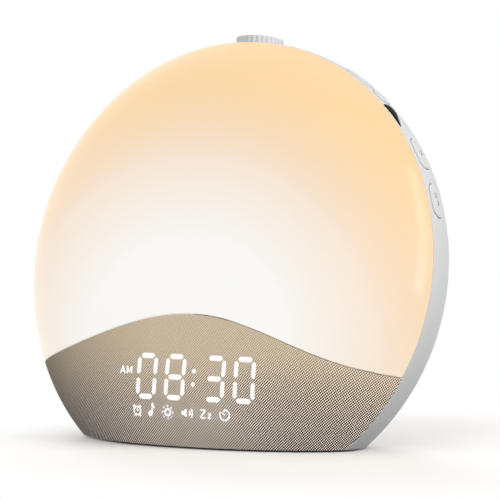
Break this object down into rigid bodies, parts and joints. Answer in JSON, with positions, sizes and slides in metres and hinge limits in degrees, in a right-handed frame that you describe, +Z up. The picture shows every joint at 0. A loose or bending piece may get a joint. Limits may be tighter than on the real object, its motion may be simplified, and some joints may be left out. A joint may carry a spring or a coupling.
{
  "type": "sunrise alarm clock",
  "caption": "Round bedside wake-up light leaning back on a flat base, with a glowing domed face, a wave of speaker cloth with a lit time display, rim keys and a ribbed knob on top.",
  "frame": {"origin": "on the table under the middle of the clock's outline", "axes": "+X to the viewer's right across the face, +Y from the face to the back, +Z up"},
  "size_m": [0.1849, 0.0798, 0.163],
  "materials": {
    "pearl_white": "matt",
    "base_grey": "matt",
    "pad_rubber": "matt",
    "opal_glow": "matt",
    "panel_brown": "matt",
    "taupe_cloth": "woven",
    "frame_white": "matt",
    "board_white": "matt",
    "diode_warm": "gloss",
    "reflector_white": "matt",
    "lit_symbol": "gloss",
    "display_black": "matt",
    "board_green": "matt",
    "bright_steel": "satin",
    "slider_grey": "matt",
    "part_black": "matt",
    "window_black": "gloss",
    "speaker_grey": "satin",
    "magnet_zinc": "satin",
    "cone_paper": "matt",
    "capacitor_blue": "gloss",
    "ribbon_white": "matt",
    "lead_red": "matt",
    "lead_grey": "matt"
  },
  "bodies": {
    "casing": {"rear_housing": "pearl_white", "base_plate": "base_grey", "base_pad": "pad_rubber", "diffuser": "opal_glow", "grille_panel": "panel_brown", "grille_cloth": "taupe_cloth", "inner_frame": "frame_white", "light_board": "board_white", "light_diodes": "diode_warm", "reflector": "reflector_white", "light_baffle": "reflector_white", "display_digits": "lit_symbol", "display_icons": "lit_symbol", "display_case": "display_black", "display_board": "board_green", "encoder_body": "part_black", "encoder_board": "board_green", "key_board": "board_green", "key_switches": "part_black", "switch_domes": "bright_steel", "sensor_window": "window_black", "light_sensor": "part_black", "speaker_frame": "speaker_grey", "speaker_magnet": "magnet_zinc", "speaker_cone": "cone_paper", "speaker_cap": "cone_paper", "speaker_gasket": "pad_rubber", "main_board": "board_green", "board_chips": "part_black", "backup_cell": "bright_steel", "cell_holder": "part_black", "capacitors": "capacitor_blue", "power_socket": "bright_steel", "power_board": "board_green", "display_ribbon": "ribbon_white", "light_ribbon": "ribbon_white", "speaker_leads": "lead_red", "power_leads": "lead_red", "signal_leads": "lead_grey", "housing_screws": "bright_steel", "frame_screws": "bright_steel", "board_screws": "bright_steel", "base_screws": "bright_steel"},
    "push_stage": {"encoder_slider": "slider_grey"},
    "knob": {"knob": "pearl_white", "encoder_shaft": "bright_steel"},
    "key_1": {"key_1": "pearl_white"},
    "key_2": {"key_2": "pearl_white"},
    "key_3": {"key_3": "pearl_white"},
    "key_4": {"key_4": "pearl_white"}
  },
  "joints": [
    {"name": "knob_push", "type": "slide", "parent": "casing", "child": "push_stage", "axis": [0, -0.1736, -0.9848], "range_m": [0, 0.0004], "stiffness_N_per_m": 12000, "springref_m": -0.0001},
    {"name": "knob_turn", "type": "hinge", "parent": "push_stage", "child": "knob", "pos_m": [0, 0.02035, 0.15616], "axis": [0, 0.1736, 0.9848], "continuous": true},
    {"name": "key_1_press", "type": "slide", "parent": "casing", "child": "key_1", "axis": [-0.5402, -0.1461, -0.8288], "range_m": [0, 0.0005], "stiffness_N_per_m": 3000, "springref_m": -0.0001},
    {"name": "key_2_press", "type": "slide", "parent": "casing", "child": "key_2", "axis": [-0.6508, -0.1318, -0.7477], "range_m": [0, 0.0005], "stiffness_N_per_m": 3000, "springref_m": -0.0001},
    {"name": "key_3_press", "type": "slide", "parent": "casing", "child": "key_3", "axis": [-0.857, -0.0895, -0.5075], "range_m": [0, 0.0005], "stiffness_N_per_m": 3000, "springref_m": -0.0001},
    {"name": "key_4_press", "type": "slide", "parent": "casing", "child": "key_4", "axis": [-0.949, -0.0548, -0.3105], "range_m": [0, 0.0005], "stiffness_N_per_m": 3000, "springref_m": -0.0001}
  ]
}
